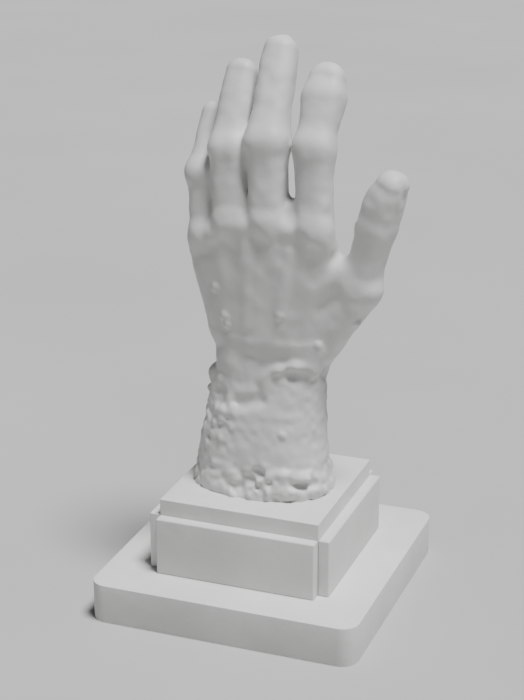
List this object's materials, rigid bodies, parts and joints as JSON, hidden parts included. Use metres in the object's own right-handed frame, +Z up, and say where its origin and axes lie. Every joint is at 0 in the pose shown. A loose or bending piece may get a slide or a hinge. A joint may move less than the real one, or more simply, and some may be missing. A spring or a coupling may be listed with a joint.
{
  "type": "prosthetic hand",
  "caption": "Positionable prosthetic left hand with open, slightly bent fingers, standing on its forearm stump on a stepped square display plinth.",
  "frame": {"origin": "centre of the slab's underside", "axes": "+Z up, along the forearm to the fingertips; back of the hand towards -Y, palm towards +Y, thumb towards +X"},
  "size_m": [0.16, 0.16, 0.3216],
  "materials": {
    "stand": "matt off-white lacquer",
    "silicone": "matt pale grey silicone",
    "nail": "satin pale grey",
    "frame": "matt dark grey moulded nylon",
    "nylon": "matt black",
    "link": "satin anodised",
    "steel": "brushed"
  },
  "bodies": {
    "stand": {"base_slab": "stand", "plinth_block": "stand", "panel_front": "stand", "panel_right": "stand", "panel_back": "stand", "panel_left": "stand", "slab_screws": "steel", "mounting_bolt": "steel", "mounting_washer": "steel", "forearm_base_plate": "steel", "forearm_core": "frame", "forearm_glove": "silicone", "wrist_ring": "steel", "wrist_friction_washer": "nylon"},
    "palm": {"wrist_spindle": "steel", "wrist_nut": "steel", "wrist_screws": "steel", "palm_frame": "frame", "palm_glove": "silicone", "knuckle_pins": "steel", "knuckle_washers": "nylon", "thumb_swivel_pin": "steel"},
    "index_proximal": {"index_proximal_link": "link", "index_pin": "steel", "index_washers": "nylon", "index_proximal_glove": "silicone"},
    "index_distal": {"index_distal_link": "link", "index_distal_glove": "silicone"},
    "middle_proximal": {"middle_proximal_link": "link", "middle_pin": "steel", "middle_washers": "nylon", "middle_proximal_glove": "silicone"},
    "middle_distal": {"middle_distal_link": "link", "middle_distal_glove": "silicone"},
    "ring_proximal": {"ring_proximal_link": "link", "ring_pin": "steel", "ring_washers": "nylon", "ring_proximal_glove": "silicone"},
    "ring_distal": {"ring_distal_link": "link", "ring_distal_glove": "silicone"},
    "little_proximal": {"little_proximal_link": "link", "little_pin": "steel", "little_washers": "nylon", "little_proximal_glove": "silicone"},
    "little_distal": {"little_distal_link": "link", "little_distal_glove": "silicone"},
    "thumb_base": {"thumb_base_link": "frame", "thumb_base_glove": "silicone", "thumb_knuckle_pin": "steel", "thumb_knuckle_washers": "nylon"},
    "thumb_proximal": {"thumb_proximal_link": "link", "thumb_pin": "steel", "thumb_washers": "nylon", "thumb_proximal_glove": "silicone"},
    "thumb_distal": {"thumb_distal_link": "link", "thumb_distal_glove": "silicone", "thumb_nail": "nail"}
  },
  "joints": [
    {"name": "wrist_rotation", "type": "hinge", "parent": "stand", "child": "palm", "pos_m": [0, 0.004, 0.1316], "axis": [0, 0, 1], "range_deg": [-45, 45]},
    {"name": "index_knuckle", "type": "hinge", "parent": "palm", "child": "index_proximal", "pos_m": [0.029, -0.003, 0.221], "axis": [-0.9976, 0, -0.0698], "range_deg": [-12, 75]},
    {"name": "index_middle_joint", "type": "hinge", "parent": "index_proximal", "child": "index_distal", "pos_m": [0.02576, 0.00435, 0.26731], "axis": [-0.9976, 0, -0.0698], "range_deg": [-18, 85]},
    {"name": "middle_knuckle", "type": "hinge", "parent": "palm", "child": "middle_proximal", "pos_m": [0.0025, -0.004, 0.223], "axis": [-0.9962, 0, -0.0872], "range_deg": [-12, 75]},
    {"name": "middle_middle_joint", "type": "hinge", "parent": "middle_proximal", "child": "middle_distal", "pos_m": [-0.00155, 0.00335, 0.26925], "axis": [-0.9962, 0, -0.0872], "range_deg": [-18, 85]},
    {"name": "ring_knuckle", "type": "hinge", "parent": "palm", "child": "ring_proximal", "pos_m": [-0.0205, -0.001, 0.221], "axis": [-0.9945, 0, -0.1045], "range_deg": [-12, 75]},
    {"name": "ring_middle_joint", "type": "hinge", "parent": "ring_proximal", "child": "ring_distal", "pos_m": [-0.02494, 0.00573, 0.26324], "axis": [-0.9945, 0, -0.1045], "range_deg": [-18, 85]},
    {"name": "little_knuckle", "type": "hinge", "parent": "palm", "child": "little_proximal", "pos_m": [-0.039, 0.003, 0.211], "axis": [-0.9962, 0, -0.0872], "range_deg": [-12, 75]},
    {"name": "little_middle_joint", "type": "hinge", "parent": "little_proximal", "child": "little_distal", "pos_m": [-0.04219, 0.00879, 0.24741], "axis": [-0.9962, 0, -0.0872], "range_deg": [-18, 85]},
    {"name": "thumb_swivel", "type": "hinge", "parent": "palm", "child": "thumb_base", "pos_m": [0.034, 0.006, 0.162], "axis": [0, 0, -1], "range_deg": [-50, 0]},
    {"name": "thumb_knuckle", "type": "hinge", "parent": "thumb_base", "child": "thumb_proximal", "pos_m": [0.0528, 0.005, 0.1892], "axis": [-0.3002, -0.9511, 0.0732], "range_deg": [-10, 12]},
    {"name": "thumb_end_joint", "type": "hinge", "parent": "thumb_proximal", "child": "thumb_distal", "pos_m": [0.06182, 0.005, 0.22622], "axis": [-0.3002, -0.9511, 0.0732], "range_deg": [-12, 40]}
  ]
}
